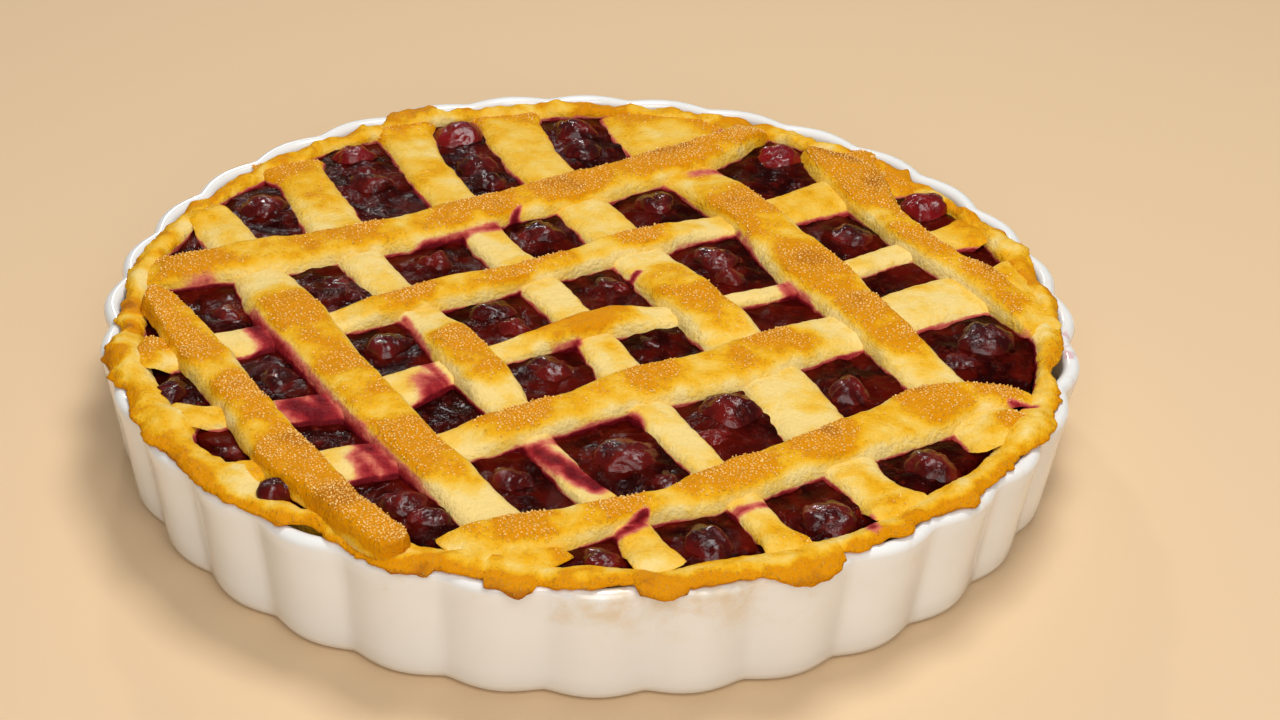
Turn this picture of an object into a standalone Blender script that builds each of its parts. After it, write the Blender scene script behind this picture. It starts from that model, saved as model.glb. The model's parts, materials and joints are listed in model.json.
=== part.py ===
"""A baked cherry pie with a lattice top in its own fluted porcelain dish.

Z is up, the front of the pie faces -Y, and the origin is the bottom centre of the dish.
Heights named *_lift are measured up from the top of the dish's lip.
"""
import math

import bmesh
import bpy
from mathutils import Matrix, Vector

MM = 0.001

# The dish.
RIM_RADIUS = 140.0
BASE_RADIUS = 134.6
DISH_HEIGHT = 38.0
WALL = 5.0
FLOOR = 5.0
FOOT_ROUND = 3.5
FLOOR_ROUND = 7.0
FLUTES = 32
FLUTE_DEPTH = 2.8
FLUTE_TURN = math.radians(-94.1)
FLUTE_START_RADIUS = 112.0
FLUTE_FULL_RADIUS = 130.0
STEPS_PER_FLUTE = 4

# Clear space between neighbouring pieces.
GAP = 0.35

# The pastry border that stands inside the wall and laps over the lip in front.
BORDER_STATIONS = 108
BORDER_BODY_RADIUS = 130.3
BORDER_INNER_RADIUS = 130.2
BORDER_DEPTH = 9.0
FRONT_LIFT = 2.9
BACK_LIFT = 0.6
LAP_LIFT = 1.65
KEEP_LIFT = 30.0
DROOP_WIDTH = 2.4

# Places where the border reaches further out: (azimuth deg, half width deg, reach, droop, rise).
LAPS = (
    (-145.0, 38.0, 2.6, 0.0, 0.0),
    (-163.0, 5.0, 4.2, 0.0, 2.6),
    (-148.0, 4.0, 2.2, 0.0, 0.6),
    (-133.0, 4.0, 1.6, 0.0, 0.2),
    (-110.0, 5.0, 1.4, 1.0, 0.0),
    (-97.5, 4.0, 1.0, 0.0, 0.0),
    (-82.0, 4.0, 1.0, 0.0, 0.0),
    (-66.5, 6.0, 4.6, 5.2, 0.4),
    (-44.0, 4.5, 2.6, 0.0, 0.4),
    (-27.0, 6.0, 4.4, 0.0, 1.6),
    (17.0, 4.0, 2.6, 0.0, 0.8),
    (43.0, 5.0, 3.0, 0.0, 2.2),
    (115.0, 5.0, 2.4, 0.0, 2.2),
)

# Places where the border's edge is torn back: (azimuth deg, half width deg, depth).
TEARS = (
    (-170.0, 3.0, 3.0),
    (-121.0, 3.0, 2.4),
    (-56.0, 3.0, 2.0),
    (-13.0, 5.0, 3.2),
    (30.0, 3.0, 2.0),
    (127.0, 3.0, 2.6),
)

# The lattice strips.
STRIP_THICK = 3.2
STRIP_STEP = 11.0
WEAVE = 1.8
DOME_EDGE_LIFT = 1.5
DOME_RISE = 2.2
DOME_BACK_DROP = 1.2
SAG = 0.45
TONGUE_LIFT = 3.0
TONGUE_RADIUS = 119.0

# The strips from the back left down to the front right: (x, y, width) along the middle of each.
DOWN_STRIPS = {
    "strip_down_1": ((-125, -7, 12), (-119, -16, 13), (-105, -40, 15), (-91, -64, 14),
                     (-78, -87, 18), (-70, -98, 16), (-54, -119, 13), (-45, -128, 11)),
    "strip_down_2": ((-128, 58, 17), (-115, 44, 16), (-109, 32, 17), (-97, 9, 18), (-85, -15, 22),
                     (-72, -38, 20), (-58, -61, 19), (-44, -83, 18), (-28, -104, 17),
                     (-17, -120, 19), (-7, -137, 20)),
    "strip_down_3": ((-101, 104, 30), (-96, 81, 23), (-90, 69, 18), (-80, 45, 20), (-69, 21, 16),
                     (-56, -1, 14), (-42, -23, 16), (-29, -45, 17), (-17, -69, 12), (-4, -91, 10),
                     (11, -112, 13), (23, -138, 13)),
    "strip_down_4": ((-67, 128, 26), (-63, 111, 21), (-56, 87, 17), (-46, 64, 17), (-30, 30, 15),
                     (-16, 8, 15), (2, -25, 14), (12, -49, 16), (24, -71, 13), (37, -93, 12),
                     (49, -115, 12), (58, -132, 22)),
    "strip_down_5": ((-32, 133, 27), (-29, 116, 22), (-21, 91, 21), (-10, 68, 20), (8, 34, 21),
                     (28, 0, 21), (47, -33, 21), (63, -69, 22), (75, -92, 16), (90, -112, 26)),
    "strip_down_6": ((20, 133, 46), (21, 113, 38), (25, 89, 25), (39, 66, 21), (52, 44, 21),
                     (64, 20, 24), (77, -3, 20), (95, -38, 19), (108, -61, 21), (124, -78, 26)),
    "strip_down_7": ((72, 120, 24), (80, 85, 24), (87, 61, 16), (98, 38, 13), (114, 18, 16),
                     (127, -4, 14), (134, -18, 12)),
}

# The strips from the left to the back right.
CROSS_STRIPS = {
    "strip_cross_1": ((-36, -132, 17), (-27, -123, 20), (-4, -113, 15), (19, -103, 11),
                      (30, -97, 16), (61, -76, 17), (82, -62, 20), (92, -54, 22), (103, -48, 16),
                      (117, -46, 9), (131, -45, 10)),
    "strip_cross_2": ((-107, -99, 14), (-89, -93, 10), (-65, -87, 17), (-40, -80, 16),
                      (-7, -62, 16), (14, -48, 19), (37, -37, 21), (58, -22, 20), (79, -8, 22),
                      (100, 7, 23), (122, 18, 26), (136, 21, 27)),
    "strip_cross_3": ((-131, -73, 22), (-113, -67, 13), (-88, -64, 12), (-63, -58, 17),
                      (-52, -51, 18), (-31, -35, 11), (-9, -23, 10), (2, -16, 13), (26, -7, 11),
                      (40, 1, 8), (56, 9, 8), (71, 20, 11), (92, 35, 11), (113, 50, 17),
                      (126, 58, 26)),
    "strip_cross_4": ((-137, -37, 20), (-120, -36, 18), (-108, -32, 16), (-84, -22, 14),
                      (-60, -11, 12), (-38, 2, 15), (-20, 10, 11), (7, 28, 13), (29, 41, 13),
                      (51, 55, 17), (72, 70, 21), (93, 86, 25), (104, 94, 28)),
    "strip_cross_5": ((-137, 10, 24), (-120, 10, 17), (-96, 19, 20), (-72, 28, 17), (-50, 39, 19),
                      (-28, 53, 18), (-7, 66, 20), (14, 81, 19), (34, 96, 17), (46, 108, 13),
                      (54, 121, 11)),
}

# The most of the way to the next crossing that a flat may take, and the least space between two sections.
FLAT_SHARE = 0.44
CLOSEST = 2.0

# The strip whose two ends lie over the border. All others stop inside it.
OVER_BORDER = "strip_down_1"

# Crossings where the strip that runs down lies on top. Everywhere else the cross strip does.
DOWN_ON_TOP = {
    "strip_down_1": ("strip_cross_4", "strip_cross_3", "strip_cross_2"),
    "strip_down_2": ("strip_cross_4", "strip_cross_3", "strip_cross_2"),
    "strip_down_3": ("strip_cross_3",),
    "strip_down_5": ("strip_cross_3",),
    "strip_down_6": ("strip_cross_4", "strip_cross_3", "strip_cross_2"),
    "strip_down_7": ("strip_cross_4", "strip_cross_3", "strip_cross_2"),
}

# The filling and the cherries that show in the openings: (x, y, radius, height over the jelly).
FLOOR_CLEAR = 0.3
CHERRY_SHOWS = 0.78
CHERRY_OVAL = 0.93
CHERRY_SUNK = 1.2
SMALLEST_SHOWING = 2.0
CHERRIES = (
    (10, -79, 9.0, 3.6), (38, -57, 9.0, 3.2), (71, -44, 8.0, 2.6), (-47, -103, 8.5, 3.0),
    (-40, -109, 6.0, 2.2), (-20, -92, 6.5, 2.4), (31, -116, 8.0, 2.8), (62, -104, 8.5, 2.8),
    (91, -78, 8.5, 3.0), (112, -14, 9.5, 4.0), (102, 66, 8.5, 4.2), (58, 98, 8.5, 3.8),
    (-45, 106, 8.5, 3.6), (-38, 84, 8.0, 2.4), (-8, 112, 9.0, 3.8), (-5, 98, 8.0, 2.6),
    (-76, 90, 8.0, 3.0), (-70, 70, 8.0, 2.6), (-101, 53, 8.5, 2.8), (-75, 8, 8.0, 2.4),
    (-47, 21, 7.5, 2.2), (-28, -8, 8.5, 2.8), (-16, 40, 8.0, 2.4), (19, 62, 8.0, 2.2),
    (5, 10, 7.5, 2.2), (36, 27, 8.0, 2.4), (77, 45, 8.0, 2.2), (-56, -28, 8.0, 2.6),
    (-11, -38, 8.0, 2.6), (17, -20, 7.0, 1.8), (-85, -45, 8.0, 2.4), (-80, -102, 7.0, 4.0),
    (-114, -52, 7.0, 2.2), (-94, -80, 6.0, 2.0), (4, -125, 7.0, 2.0), (56, -8, 6.5, 1.6),
)


def make_material(name, color, roughness):
    material = bpy.data.materials.new(name)
    material.use_nodes = True
    shader = material.node_tree.nodes["Principled BSDF"]
    shader.inputs["Base Color"].default_value = (*color, 1.0)
    shader.inputs["Roughness"].default_value = roughness
    return material


def link_mesh(name, bm, collection, material=None):
    """Put a bmesh into the scene as an object whose faces point outward."""
    bmesh.ops.recalc_face_normals(bm, faces=bm.faces)
    mesh = bpy.data.meshes.new(name)
    bm.to_mesh(mesh)
    bm.free()
    obj = bpy.data.objects.new(name, mesh)
    collection.objects.link(obj)
    if material:
        mesh.materials.append(material)
    return obj


def smoothstep(x):
    x = min(max(x, 0.0), 1.0)
    return x * x * (3.0 - 2.0 * x)


def hump(angle, centre, half_width):
    """1 at the centre azimuth, easing to 0 at half_width to either side; angles in degrees."""
    away = abs((angle - centre + 180.0) % 360.0 - 180.0)
    return smoothstep(1.0 - away / half_width)


def loft(sections, closed):
    """Join equal rings of points, end to end where closed and capped at both ends where not."""
    bm = bmesh.new()
    rows = [[bm.verts.new([c * MM for c in p]) for p in section] for section in sections]
    pairs = list(zip(rows, rows[1:]))
    if closed:
        pairs.append((rows[-1], rows[0]))
    for low, high in pairs:
        for i in range(len(low)):
            j = (i + 1) % len(low)
            bm.faces.new((low[i], low[j], high[j], high[i]))
    if not closed:
        bm.faces.new(rows[0])
        bm.faces.new(rows[-1])
    return bm


# The dish.

def flute(angle):
    """How far the wall draws in at this azimuth: nothing on a lobe, the full depth in a groove."""
    return FLUTE_DEPTH * (1.0 - abs(math.sin(FLUTES / 2 * (angle - FLUTE_TURN))))


def wall_radius(z, inner):
    """The wall's radius on a lobe at height z."""
    lean = (RIM_RADIUS - BASE_RADIUS) / DISH_HEIGHT
    return BASE_RADIUS + lean * z - (WALL if inner else 0.0)


def arc(r, z, radius, start, end, count):
    """Points round a centre in the half section; angles in degrees, 0 outwards and 90 up."""
    angles = [math.radians(start + (end - start) * k / count) for k in range(count + 1)]
    return [(r + radius * math.cos(a), z + radius * math.sin(a)) for a in angles]


def dish_profile():
    """Half section of the dish, from the inside of its lip over the top and down the outer side."""
    half = WALL / 2
    lip = arc(RIM_RADIUS - half, DISH_HEIGHT - half, half, 180, 0, 4)
    foot = arc(wall_radius(FOOT_ROUND, False) - FOOT_ROUND, FOOT_ROUND, FOOT_ROUND, 0, -90, 2)
    corner = FLOOR + FLOOR_ROUND
    floor = arc(wall_radius(corner, True) - FLOOR_ROUND, corner, FLOOR_ROUND, -90, 0, 2)
    return lip + foot + [(0.0, 0.0), (0.0, FLOOR)] + floor


def make_dish(collection, material):
    mesh = bpy.data.meshes.new("dish_profile")
    points = dish_profile()
    pairs = [(i, (i + 1) % len(points)) for i in range(len(points))]
    edges = [(i, j) for i, j in pairs if points[i][0] or points[j][0]]
    mesh.from_pydata([(r * MM, 0.0, z * MM) for r, z in points], edges, [])
    turned = bpy.data.objects.new("dish_turned", mesh)
    collection.objects.link(turned)
    turned.rotation_euler.z = FLUTE_TURN
    screw = turned.modifiers.new("turn", "SCREW")
    screw.steps = FLUTES * STEPS_PER_FLUTE
    screw.render_steps = screw.steps
    screw.use_merge_vertices = True
    screw.merge_threshold = 0.00001
    screw.use_normal_calculate = True
    bpy.context.view_layer.update()
    solid = turned.evaluated_get(bpy.context.evaluated_depsgraph_get())
    bm = bmesh.new()
    bm.from_mesh(solid.to_mesh())
    bm.transform(turned.matrix_world)
    solid.to_mesh_clear()
    bpy.data.objects.remove(turned)
    bmesh.ops.remove_doubles(bm, verts=bm.verts, dist=0.00001)
    for vert in bm.verts:
        radius = math.hypot(vert.co.x, vert.co.y) / MM
        if radius < 1.0:
            continue
        share = smoothstep((radius - FLUTE_START_RADIUS) / (FLUTE_FULL_RADIUS - FLUTE_START_RADIUS))
        scale = 1.0 - share * flute(math.atan2(vert.co.y, vert.co.x)) / radius
        vert.co.x *= scale
        vert.co.y *= scale
    return link_mesh("dish", bm, collection, material)


# The pastry border.

def border_top(degrees):
    """Lift of the border's top: over the lip in front, sunk below it at the back."""
    back = smoothstep((math.sin(math.radians(degrees)) - 0.15) / 0.75)
    lift = FRONT_LIFT + (BACK_LIFT - FRONT_LIFT) * back
    for centre, half, _, _, rise in LAPS:
        lift += rise * hump(degrees, centre, half)
    return lift + 0.25 * math.sin(math.radians(degrees) * 23.0)


def border_lap(degrees):
    """1 where the border is high enough to lap over the lip, easing to 0 where it's sunk inside it."""
    step = 360.0 / BORDER_STATIONS
    lowest = min(border_top(degrees + k * step) for k in (-1, 0, 1))
    return smoothstep((lowest - LAP_LIFT) / 0.5)


def border_outer(degrees):
    """Radius of the border's uneven outer edge."""
    angle = math.radians(degrees)
    radius = 135.0 - 3.2 * math.sin(angle)
    radius += 0.7 * math.sin(19.0 * angle + 1.0) + 0.5 * math.sin(31.0 * angle)
    for centre, half, reach, _, _ in LAPS:
        radius += reach * hump(degrees, centre, half)
    for centre, half, depth in TEARS:
        radius -= depth * hump(degrees, centre, half)
    radius = min(radius, RIM_RADIUS)
    inside = BORDER_BODY_RADIUS + 0.4
    return inside + border_lap(degrees) * max(radius - inside, 0.0)


def border_droop(degrees):
    """How far the edge hangs down outside the lip, and 0 where it only lies on it."""
    return sum(droop * hump(degrees, centre, half) for centre, half, _, droop, _ in LAPS)


def border_inner(degrees):
    """Inner edge of the border as (top radius, lower radius); it leans most in front."""
    side = math.sin(math.radians(degrees))
    top = BORDER_INNER_RADIUS - 3.2 * side + 0.6 * math.sin(math.radians(degrees) * 17.0)
    return top, top - 3.4 + 1.6 * side


def border_face(degrees):
    """The side of the border that faces the filling, from the bottom up."""
    top, low = border_inner(degrees)
    lift = border_top(degrees)
    return ((low, -BORDER_DEPTH), (low, lift - 4.0), (low + 0.3 * (top - low), lift - 1.8), (top, lift - 0.6))


def border_section(degrees):
    """One closed section of the border, from the bottom of its outer side."""
    top, _ = border_inner(degrees)
    outer = border_outer(degrees)
    lift = border_top(degrees)
    over_lip = GAP if lift > LAP_LIFT else lift - LAP_LIFT + GAP
    droop = border_droop(degrees)
    hang = RIM_RADIUS + GAP if droop > 0.05 else outer - 1.0
    hang = max(hang, BORDER_BODY_RADIUS + 0.1)
    outer = max(outer, hang + 0.3 + min(droop, 1.0) * DROOP_WIDTH)
    outside = (
        (BORDER_BODY_RADIUS, -BORDER_DEPTH),
        (BORDER_BODY_RADIUS, over_lip),
        (hang, over_lip),
        (hang + 0.1, over_lip - droop),
        (outer, over_lip - droop * 0.9 + 0.3),
        (outer + 0.3, (lift + over_lip) / 2),
        (outer - 0.9, lift - 0.3),
        (max(top, (outer + top) / 2 - 0.5), lift + 0.2),
    )
    return outside + border_face(degrees)[::-1]


def border_angles():
    return [360.0 * k / BORDER_STATIONS for k in range(BORDER_STATIONS)]


def ring(points, degrees):
    """Points of a half section, (radius, height over the lip), turned to an azimuth."""
    c, s = math.cos(math.radians(degrees)), math.sin(math.radians(degrees))
    return [(r * c, r * s, DISH_HEIGHT + z) for r, z in points]


def make_border(collection, material):
    sections = [ring(border_section(degrees), degrees) for degrees in border_angles()]
    return link_mesh("crust_border", loft(sections, True), collection, material)


def make_keep(collection):
    """The space inside the border that the strips are trimmed to."""
    faces = []
    for degrees in border_angles():
        face = [(radius - GAP, z) for radius, z in border_face(degrees)]
        face.append((face[-1][0], KEEP_LIFT))
        faces.append(ring(face, degrees))
    keep = link_mesh("keep", loft(list(zip(*faces)), False), collection)
    keep.hide_render = True
    keep.display_type = "WIRE"
    return keep


# The lattice.

def smooth_path(points):
    """Fine steps along a smooth curve through the (x, y, width) given, each with the length so far."""
    pts = [Vector(point) for point in points]
    pts = [2 * pts[0] - pts[1]] + pts + [2 * pts[-1] - pts[-2]]
    fine = []
    for a, b, c, d in zip(pts, pts[1:], pts[2:], pts[3:]):
        for t in (0.0, 0.125, 0.25, 0.375, 0.5, 0.625, 0.75, 0.875):
            fine.append(0.5 * (2 * b + (c - a) * t + (2 * a - 5 * b + 4 * c - d) * t * t
                               + (3 * b - a - 3 * c + d) * t ** 3))
    fine.append(pts[-2])
    path = [(fine[0], 0.0)]
    for spot in fine[1:]:
        last, length = path[-1]
        path.append((spot, length + (spot - last).xy.length))
    return path


def spot_at(path, at):
    """The place and width at a length along a path."""
    for (p, start), (q, end) in zip(path, path[1:]):
        if at <= end:
            return p.lerp(q, (at - start) / (end - start))
    return path[-1][0]


def crossing(path_a, path_b):
    """Where two paths cross, as (length along path_a, half the flat that path_a needs there), or None."""
    for (p, start), (q, end) in zip(path_a, path_a[1:]):
        for (u, _), (v, _) in zip(path_b, path_b[1:]):
            r, w = (q - p).xy, (v - u).xy
            cross = r.x * w.y - r.y * w.x
            if abs(cross) < 1e-9:
                continue
            gap = (u - p).xy
            t = (gap.x * w.y - gap.y * w.x) / cross
            k = (gap.x * r.y - gap.y * r.x) / cross
            if 0.0 <= t < 1.0 and 0.0 <= k < 1.0:
                sine = abs(cross) / (r.length * w.length)
                cosine = abs(r.dot(w)) / (r.length * w.length)
                return start + t * (end - start), (u.z + p.z * cosine) / 2 / sine
    return None


def weave_marks(name, paths):
    """(length, +1 or -1, half the flat) for each crossing on a strip, in order along it."""
    down = name in DOWN_STRIPS
    marks = []
    for other in (CROSS_STRIPS if down else DOWN_STRIPS):
        found = crossing(paths[name], paths[other])
        if found is None:
            continue
        on_top = other in DOWN_ON_TOP.get(name, ()) if down else name not in DOWN_ON_TOP.get(other, ())
        marks.append((found[0], 1.0 if on_top else -1.0, found[1]))
    marks.sort()
    fitted = []
    for k, (at, level, flat) in enumerate(marks):
        nearest = min(abs(other[0] - at) for j, other in enumerate(marks) if j != k)
        fitted.append((at, level, min(flat, FLAT_SHARE * nearest)))
    return fitted


def weave_level(marks, at):
    """Level of a strip between -1 and 1: flat over each crossing, eased between them."""
    if at <= marks[0][0]:
        return marks[0][1]
    for (a, level_a, flat_a), (b, level_b, flat_b) in zip(marks, marks[1:]):
        if at > b:
            continue
        share = (at - a - flat_a) / (b - a - flat_a - flat_b)
        sag = SAG * math.sin(math.pi * min(max(share, 0.0), 1.0)) if level_a == level_b == 1.0 else 0.0
        return level_a + (level_b - level_a) * smoothstep(share) - sag
    return marks[-1][1]


def stations(marks, length):
    """Lengths at which a strip gets a section: both ends of each flat, and even steps outside the flats."""
    flats = [(at - flat, at + flat) for at, _, flat in marks]
    ends = [at for flat in flats for at in flat if CLOSEST < at < length - CLOSEST]
    steps = [STRIP_STEP * k for k in range(1, int(length / STRIP_STEP) + 1)]
    free = [at for at in steps if at < length - CLOSEST
            and all(at < a - CLOSEST or at > b + CLOSEST for a, b in flats)]
    return sorted([0.0, length] + ends + free)


def dome(x, y):
    """Height of the lattice's middle surface."""
    share = min((x * x + y * y) / BORDER_BODY_RADIUS ** 2, 1.15)
    back = smoothstep((y - 30.0) / 100.0)
    return DISH_HEIGHT + DOME_EDGE_LIFT + DOME_RISE * (1.0 - share) - DOME_BACK_DROP * back


def strip_section(width):
    """A flattened round section: (across, up) points."""
    half, up = width / 2, STRIP_THICK / 2
    return ((-half + 1.2, -up), (half - 1.2, -up), (half, -0.35 * up), (half - 0.3, 0.35 * up),
            (half - 2.2, 0.85 * up), (0.0, up), (-half + 2.2, 0.85 * up), (-half + 0.3, 0.35 * up),
            (-half, -0.35 * up))


def rounded_end(at, length):
    """Share of the full width near the rounded ends of the strip that lies over the border."""
    away = min(at, length - at)
    return math.sqrt(max(0.08, 1.0 - (1.0 - min(away / 7.0, 1.0)) ** 2))


def make_strip(name, path, marks, keep, collection, material):
    over_border = name == OVER_BORDER
    length = path[-1][1]
    sections = []
    for at in stations(marks, length):
        spot = spot_at(path, at)
        along = (spot_at(path, min(at + 1.0, length)) - spot_at(path, max(at - 1.0, 0.0))).xy.normalized()
        side = Vector((-along.y, along.x))
        level = weave_level(marks, at)
        narrow = rounded_end(at, length) if over_border else 1.0
        section = []
        for across, up in strip_section(spot.z):
            x, y = spot.xy + side * across * narrow
            lift = WEAVE * level
            if over_border:
                lift += TONGUE_LIFT * smoothstep((math.hypot(x, y) - TONGUE_RADIUS) / 9.0)
            section.append((x, y, dome(x, y) + lift + up))
        sections.append(section)
    strip = link_mesh(name, loft(sections, False), collection, material)
    if not over_border:
        apply_boolean(strip, "INTERSECT", tool=keep)
    return strip


def apply_boolean(target, operation, tool=None, tools=None):
    """Combine the target with one object, or with all in a collection, and leave those in place."""
    join = target.modifiers.new("join", "BOOLEAN")
    join.operation = operation
    join.solver = "EXACT"
    if tool:
        join.object = tool
    else:
        join.operand_type = "COLLECTION"
        join.collection = tools
    bpy.context.view_layer.update()
    mesh = bpy.data.meshes.new_from_object(target.evaluated_get(bpy.context.evaluated_depsgraph_get()))
    target.modifiers.clear()
    old = target.data
    target.data = mesh
    bpy.data.meshes.remove(old)
    mesh.name = target.name


# The filling.

def jelly_top(x, y):
    """Height of the jelly between the strips."""
    return dome(x, y) - WEAVE - STRIP_THICK / 2 - GAP


def inside_border(x, y, width):
    """The cherry's place, moved towards the middle as far as it takes to clear the border."""
    degrees = math.degrees(math.atan2(y, x))
    most = min(border_inner(degrees + turn)[1] for turn in (-3.0, 0.0, 3.0)) - GAP - width - 0.6
    share = min(1.0, most / math.hypot(x, y))
    return x * share, y * share


def room_between(x, y, paths):
    """Distance from a place to the side of the nearest strip."""
    here = Vector((x, y))
    return min((spot.xy - here).length - spot.z / 2 for path in paths.values() for spot, _ in path)


def filling_rows():
    """Rings of the filling from its floor up the wall, in under the border's foot and over the top."""
    floor = FLOOR + FLOOR_CLEAR
    corner = FLOOR + FLOOR_ROUND
    shelf = DISH_HEIGHT - BORDER_DEPTH - GAP
    wall_clear = FLUTE_DEPTH + 0.6
    rows = [[], [], [], [], [], []]
    for degrees in border_angles()[::2]:
        c, s = math.cos(math.radians(degrees)), math.sin(math.radians(degrees))
        inside = border_inner(degrees)[1] - GAP - 0.15
        spots = ((wall_radius(corner, True) - FLOOR_ROUND - wall_clear, floor),
                 (wall_radius(corner, True) - wall_clear, corner + 1.0),
                 (wall_radius(shelf, True) - wall_clear, shelf),
                 (inside, shelf),
                 (inside, jelly_top(inside * c, inside * s) - 1.0),
                 (inside - 4.0, jelly_top((inside - 4.0) * c, (inside - 4.0) * s)))
        for row, (radius, z) in zip(rows, spots):
            row.append((radius * c, radius * s, z))
    for share in (0.62, 0.3):
        rows.append([(x * share, y * share, jelly_top(x * share, y * share)) for x, y, _ in rows[5]])
    return rows


def make_filling(paths, collection, material):
    filling = link_mesh("filling", loft(filling_rows(), False), collection, material)
    lumps = bpy.data.collections.new("cherries")
    bpy.context.scene.collection.children.link(lumps)
    for k, (x, y, radius, proud) in enumerate(CHERRIES):
        x, y = inside_border(x, y, CHERRY_SHOWS * radius)
        width = min(CHERRY_SHOWS * radius, room_between(x, y, paths) - GAP)
        if width < SMALLEST_SHOWING:
            continue
        bm = bmesh.new()
        bmesh.ops.create_uvsphere(bm, u_segments=8, v_segments=6, radius=MM)
        bmesh.ops.scale(bm, verts=bm.verts, vec=(width, width * CHERRY_OVAL, proud + CHERRY_SUNK))
        bmesh.ops.rotate(bm, verts=bm.verts, matrix=Matrix.Rotation(k * 1.3, 3, "Z"))
        bmesh.ops.translate(bm, verts=bm.verts, vec=Vector((x, y, jelly_top(x, y) - CHERRY_SUNK)) * MM)
        link_mesh(f"cherry_{k + 1}", bm, lumps)
    apply_boolean(filling, "UNION", tools=lumps)
    for lump in list(lumps.objects):
        bpy.data.objects.remove(lump)
    bpy.data.collections.remove(lumps)
    return filling


def main():
    for obj in list(bpy.data.objects):
        bpy.data.objects.remove(obj)
    scene = bpy.context.scene.collection
    pie = bpy.data.collections.new("cherry_vanilla_pie")
    cutters = bpy.data.collections.new("cutters")
    scene.children.link(pie)
    scene.children.link(cutters)

    strips = {**DOWN_STRIPS, **CROSS_STRIPS}
    paths = {name: smooth_path(points) for name, points in strips.items()}

    make_dish(pie, make_material("porcelain", (0.86, 0.83, 0.77), 0.18))
    make_border(pie, make_material("border_crust", (0.80, 0.47, 0.12), 0.55))
    make_filling(paths, pie, make_material("cherry_filling", (0.10, 0.012, 0.012), 0.2))

    keep = make_keep(cutters)
    for name, path in paths.items():
        golden = make_material(name + "_crust", (0.83, 0.53, 0.16), 0.5)
        make_strip(name, path, weave_marks(name, paths), keep, pie, golden)
    bpy.data.objects.remove(keep)
    bpy.data.collections.remove(cutters)


main()
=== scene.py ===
import json
import math
import random

import bmesh
import bpy
from mathutils import Matrix, Vector, noise

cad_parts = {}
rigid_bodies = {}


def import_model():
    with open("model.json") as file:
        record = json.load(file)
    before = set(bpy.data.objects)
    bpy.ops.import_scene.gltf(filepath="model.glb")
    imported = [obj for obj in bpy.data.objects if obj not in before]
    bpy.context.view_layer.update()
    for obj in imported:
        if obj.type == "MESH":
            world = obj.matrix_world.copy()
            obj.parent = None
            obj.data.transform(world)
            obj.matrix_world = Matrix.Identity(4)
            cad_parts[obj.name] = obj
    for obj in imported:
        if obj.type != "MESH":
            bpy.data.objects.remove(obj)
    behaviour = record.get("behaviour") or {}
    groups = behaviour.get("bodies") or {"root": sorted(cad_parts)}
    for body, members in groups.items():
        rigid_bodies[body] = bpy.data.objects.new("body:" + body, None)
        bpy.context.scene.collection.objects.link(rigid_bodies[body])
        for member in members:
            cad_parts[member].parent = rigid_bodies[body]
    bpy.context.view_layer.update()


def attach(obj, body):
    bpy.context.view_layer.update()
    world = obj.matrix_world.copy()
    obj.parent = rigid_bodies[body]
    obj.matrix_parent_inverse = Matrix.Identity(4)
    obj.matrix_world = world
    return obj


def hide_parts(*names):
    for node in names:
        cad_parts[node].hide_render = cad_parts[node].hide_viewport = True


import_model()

mm = 0.001


# Small helpers

def smoothstep(x):
    x = min(max(x, 0.0), 1.0)
    return x * x * (3.0 - 2.0 * x)


def ramp(x, low, high):
    return smoothstep((x - low) / (high - low))


def hump(angle, centre, halfWidth):
    away = abs((angle - centre + 180.0) % 360.0 - 180.0)
    return smoothstep(1.0 - away / halfWidth)


def rough(x, y, z, size, seed):
    # noise between about -1 and 1 whose lumps are `size` mm across
    return noise.noise(Vector((x / size + seed, y / size - seed, z / size + 2.0 * seed)))


def makeObject(name, bm, material, smooth=True):
    # turns a bmesh in millimetres into an object at the origin
    bmesh.ops.scale(bm, verts=bm.verts, vec=(mm, mm, mm))
    bmesh.ops.recalc_face_normals(bm, faces=bm.faces)
    mesh = bpy.data.meshes.new(name)
    bm.to_mesh(mesh)
    bm.free()
    if smooth:
        mesh.shade_smooth()
    mesh.materials.append(material)
    obj = bpy.data.objects.new(name, mesh)
    bpy.context.scene.collection.objects.link(obj)
    return obj


def finishPiece(obj, slotName, *nodes):
    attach(obj, "root")
    if nodes:
        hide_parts(*nodes)
    print("made", obj.name, len(obj.data.polygons), "faces")


def wrapGrid(across, along, place, closedAcross=True, closedAlong=False):
    # a grid of across by along faces, its corners put where place(i, j) says, joined where it closes
    bm = bmesh.new()
    bmesh.ops.create_grid(bm, x_segments=across, y_segments=along, size=0.5)
    marks = []
    for vert in bm.verts:
        i = round((vert.co.x + 0.5) * across)
        j = round((vert.co.y + 0.5) * along)
        marks.append((vert, i, j))
    for vert, i, j in marks:
        wrappedI = i % across if closedAcross else i
        wrappedJ = j % along if closedAlong else j
        vert.co = place(wrappedI, wrappedJ)
    if closedAcross or closedAlong:
        bmesh.ops.remove_doubles(bm, verts=bm.verts, dist=0.0001)
    edges = [e for e in bm.edges if e.is_boundary]
    if edges:
        bmesh.ops.holes_fill(bm, edges=edges, sides=0)
    return bm


def setAttribute(obj, name, valueAt):
    # one number for each vertex, worked out from its place in millimetres
    layer = obj.data.attributes.new(name, "FLOAT", "POINT")
    values = [valueAt(v.co.x / mm, v.co.y / mm, v.co.z / mm) for v in obj.data.vertices]
    layer.data.foreach_set("value", values)


# Shader graphs

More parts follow.
